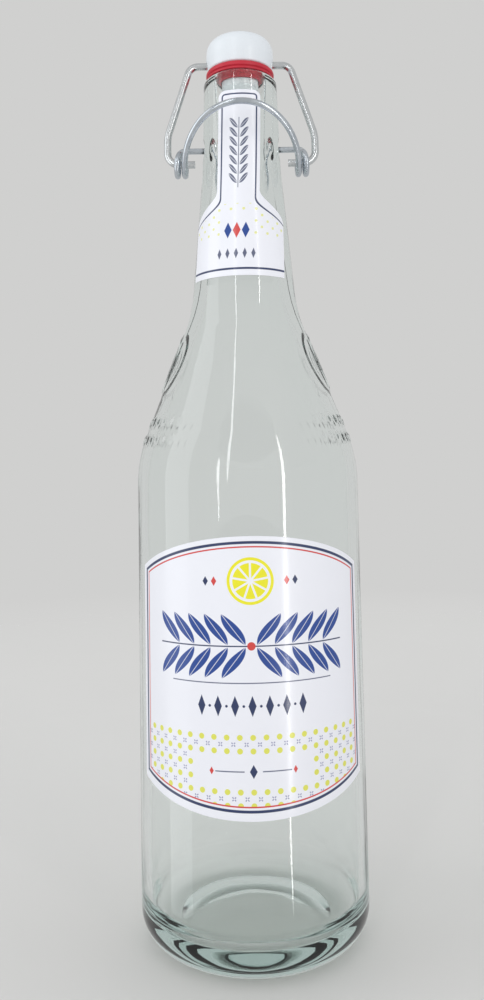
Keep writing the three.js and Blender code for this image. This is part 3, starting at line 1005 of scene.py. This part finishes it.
def leaves(along, aside, pitch, count, length, width, lean):
    """Pairs of leaves along a stem, which starts at along = 0. Each leaf is bounded by two arcs."""
    slope = math.radians(lean)
    radius = (length * length + width * width) / (4 * width)
    on_stem = along - aside.size() / math.tan(slope)
    beside = on_stem.fold(pitch / 2) * math.sin(slope)
    onward = aside.size() / math.sin(slope) - length / 2 - LEAF_GAP
    shape = onward.reach(beside + radius - width / 2).below(radius, INK_EDGE)
    vein = beside.below(VEIN_HALF, INK_EDGE)
    shown = (on_stem - pitch * (count - 1) / 2).size().below(pitch * count / 2, INK_EDGE)
    return shape * shown * (1 - vein * VEIN_SHARE)


def dots(across, up, pitch, radius):
    """Rows of dots in a square grid."""
    return across.fold(pitch / 2).reach(up.fold(pitch / 2)).below(radius, INK_EDGE)


def marks(across, up, pitch, reach):
    """Small slanted crosses, open in the middle, between the dots of the same grid."""
    x = pitch / 2 - across.fold(pitch / 2)
    y = pitch / 2 - up.fold(pitch / 2)
    arms = (x - y).size().below(MARK_HALF, INK_EDGE)
    start, end = MARK_SPAN
    return arms * stripe(x + y, middle=reach * (start + end) / 2, width=reach * (end - start))


back_paper = Finish("label_back", Roughness=0.8)
pulp = back_paper.cloud(scale=500, detail=4)
back_paper.set("Base Color", pulp.mix(colour(230, 230, 228), colour(241, 241, 239)))
back_paper.bump(back_paper.cloud(scale=1600, detail=3), depth=0.01 * MM)
print("inks and motifs ready")

# %% [markdown]
# ## Body label
#
# A navy and a red line follow the sheet's edge, whose top and foot are arcs. Inside stand a slice of
# lemon, a garland of blue leaves, a thin rule over a row of lozenges, and a field of yellow dots and
# small crosses round a panel with a divider.

# %% Print the body label
body_print = Print("body_label_print")
across, up = body_print.across, body_print.up
to_side = BODY_LABEL_HALF - across.size()
to_top = TOP_BOW_RADIUS - across.reach(up - (BODY_LABEL_HEIGHT - TOP_BOW_RADIUS))
to_foot = FOOT_BOW_RADIUS - across.reach(up - FOOT_BOW_RADIUS)
FOOT_MARGIN = 0.9
inset = to_side.least(to_top).least(to_foot - FOOT_MARGIN)

FIELD_INSET = 3.5
DOT_PITCH = 4.1
DOT_RADIUS = 0.9
MARK_REACH = 1.15
TOP_DOTS_UP = 25.1
PANEL_HALF = 4.7 * DOT_PITCH
PANEL_MIDDLE = TOP_DOTS_UP - 2.5 * DOT_PITCH
PANEL_TALL = 1.25 * DOT_PITCH
in_field = up.below(TOP_DOTS_UP + DOT_PITCH / 3, INK_EDGE) * (FIELD_INSET - inset).below(0, INK_EDGE)
in_width = across.size().below(PANEL_HALF, INK_EDGE)
in_height = (up - PANEL_MIDDLE).size().below(PANEL_TALL, INK_EDGE)
dotted = in_field * (1 - in_width * in_height)
rows_up = up - TOP_DOTS_UP
body_print.ink(dots(across, rows_up, DOT_PITCH, DOT_RADIUS) * dotted, PALE_LEMON)
body_print.ink(marks(across, rows_up, DOT_PITCH, MARK_REACH) * dotted, FAINT_SLATE)

body_print.ink(stripe(inset, middle=1.99, width=0.88), NAVY)
body_print.ink(stripe(inset, middle=3.35, width=0.47), RED)

SLICE_MIDDLE = 73
PEEL_RADIUS = 7.4
PITH_RADIUS = 6.45
SKIN_HALF = 0.32
SEGMENT_COUNT = 9
SLICE_LOZENGES = ((11.6, RED), (14.4, NAVY))
slice_up = up - SLICE_MIDDLE
from_middle = across.reach(slice_up)
segment_half = math.pi / SEGMENT_COUNT
round_slice = across.math("ARCTAN2", across, slice_up) + math.pi
from_skin = (segment_half - round_slice.fold(segment_half)) * from_middle
in_skin = stripe(from_middle, middle=3.25, width=4.7)
segments = (SKIN_HALF - from_skin).below(0, INK_EDGE) * in_skin
body_print.ink(from_middle.below(PEEL_RADIUS, INK_EDGE), LEMON)
body_print.ink(from_middle.below(PITH_RADIUS, INK_EDGE), WHITE)
body_print.ink(segments, LEMON)
for middle, tone in SLICE_LOZENGES:
    beside = across.size() - middle
    body_print.ink(lozenge(beside, slice_up, half_width=0.9, half_height=1.5), tone)

GARLAND_UP = 52.9
GARLAND_START = 1.6
GARLAND_LENGTH = 30.5
KNOT_RADIUS = 1.3
garland = across.size() - GARLAND_START
garland_aside = up - GARLAND_UP
garland_leaves = {"pitch": 5.6, "count": 5, "length": 12.2, "width": 3.5, "lean": 52}
body_print.ink(leaves(garland, garland_aside, **garland_leaves), BLUE)
stem = stripe(garland_aside, middle=0, width=0.4)
body_print.ink(stem * garland.below(GARLAND_LENGTH, INK_EDGE), NAVY)
body_print.ink(across.reach(garland_aside).below(KNOT_RADIUS, INK_EDGE), RED)

RULE_UP = 41.6
RULE_HALF = 27
ROW_UP = 34.6
ROW_HALF = 18
ROW_PITCH = 5.4
BETWEEN_RADIUS = 0.42
rule = stripe(up, RULE_UP, width=0.34)
body_print.ink(rule * across.size().below(RULE_HALF, INK_EDGE), SLATE)
row_up = up - ROW_UP
in_row = across.size().below(ROW_HALF, INK_EDGE)
from_lozenge = across.fold(ROW_PITCH / 2)
body_print.ink(lozenge(from_lozenge, row_up, half_width=1.25, half_height=3.2) * in_row, NAVY)
from_between = (ROW_PITCH / 2 - from_lozenge).reach(row_up)
body_print.ink(from_between.below(BETWEEN_RADIUS, INK_EDGE) * in_row, NAVY)

DIVIDER_HALF = 13.2
divider_up = up - PANEL_MIDDLE
body_print.ink(lozenge(across, divider_up, half_width=1.2, half_height=2.1), NAVY)
wings = stripe(across.size(), middle=7.4, width=9.2)
body_print.ink(stripe(divider_up, middle=0, width=0.36) * wings, SLATE)
wing_end = across.size() - DIVIDER_HALF
body_print.ink(lozenge(wing_end, divider_up, half_width=0.7, half_height=1.2), RED)
body_print.dry()
dress(body_label, "bottle", "body_label", "body_paper", body_print, back_paper)

# %% [markdown]
# ## Neck label
#
# A strip runs up the neck and flares to a collar. A navy line runs inside the edge of the strip and
# leaves the sheet at the shoulders of the collar, and a second one crosses its foot. A slender branch
# fills the strip, dots sprinkle the shoulders, and lozenges stand on the collar: three large ones over a
# row of small ones.

# %% Print the neck label
neck_print = Print("neck_label_print")
across, up = neck_print.across, neck_print.up
LINE_INSET = 1.5
LINE_DROP = 2.2
LINE_SPREAD = 14
flare_share = up.math("DIVIDE", up + (LINE_DROP - COLLAR_HEIGHT), FLARE_HEIGHT, clamp=True)
flare_turn = flare_share * math.pi
line_half = (1 + up.math("COSINE", flare_turn)) * (LINE_SPREAD / 2) + STRIP_HALF
line_slope = up.math("SINE", flare_turn) * (LINE_SPREAD * math.pi / 2 / FLARE_HEIGHT)
to_side = (line_half - across.size()) / (1 + line_slope * line_slope) ** 0.5
past_side = STRIP_ROUND - to_side
past_top = STRIP_ROUND - (NECK_LABEL_HEIGHT - up)
corner = past_side.most(0).reach(past_top.most(0))
inset = STRIP_ROUND - corner - past_side.most(past_top).least(0)
neck_print.ink(stripe(inset, LINE_INSET, width=0.55), NAVY)
neck_print.ink(stripe(up, middle=2.5, width=0.75), NAVY)

BAND_MIDDLE = 20
BAND_HALF = 6.2
BARE_HALF = 6
BARE_TOP = 22
BARE_SLOPE = 3
SPRINKLE_INSET = 2.6
in_band = (up - BAND_MIDDLE).size().below(BAND_HALF, INK_EDGE)
bare_edge = BARE_HALF - across.size() - (up - BARE_TOP).most(0) * BARE_SLOPE
past_bare = bare_edge.below(0, INK_EDGE)
inside = (SPRINKLE_INSET - inset).below(0, INK_EDGE)
sprinkle = dots(across + up, across - up, pitch=4.4, radius=0.72) * in_band * past_bare * inside
neck_print.ink(sprinkle, FAINT_LEMON)

BRANCH_FOOT = 33.5
STEM_MIDDLE = 11.5
STEM_HALF = 13
branch = up - BRANCH_FOOT
branch_leaves = {"pitch": 3.4, "count": 7, "length": 4.8, "width": 1.5, "lean": 42}
neck_print.ink(leaves(branch, across, **branch_leaves), SLATE)
along_stem = (branch - STEM_MIDDLE).size().below(STEM_HALF, INK_EDGE)
neck_print.ink(stripe(across, middle=0, width=0.26) * along_stem, SLATE)

TRIO_UP = 16.4
TRIO_PITCH = 3.1
trio_up = up - TRIO_UP
trio = {"half_width": 1.35, "half_height": 2.9}
neck_print.ink(lozenge(across.size() - TRIO_PITCH, trio_up, **trio), BLUE)
neck_print.ink(lozenge(across, trio_up, **trio), RED)

FOOT_ROW_UP = 8
FOOT_ROW_HALF = 7.6
FOOT_ROW_PITCH = 3
in_row = across.size().below(FOOT_ROW_HALF, INK_EDGE)
from_lozenge = across.fold(FOOT_ROW_PITCH / 2)
foot_row = lozenge(from_lozenge, up - FOOT_ROW_UP, half_width=0.75, half_height=1.9)
neck_print.ink(foot_row * in_row, SLATE)
neck_print.dry()
dress(neck_label, "bottle", "neck_label", "neck_paper", neck_print, back_paper)
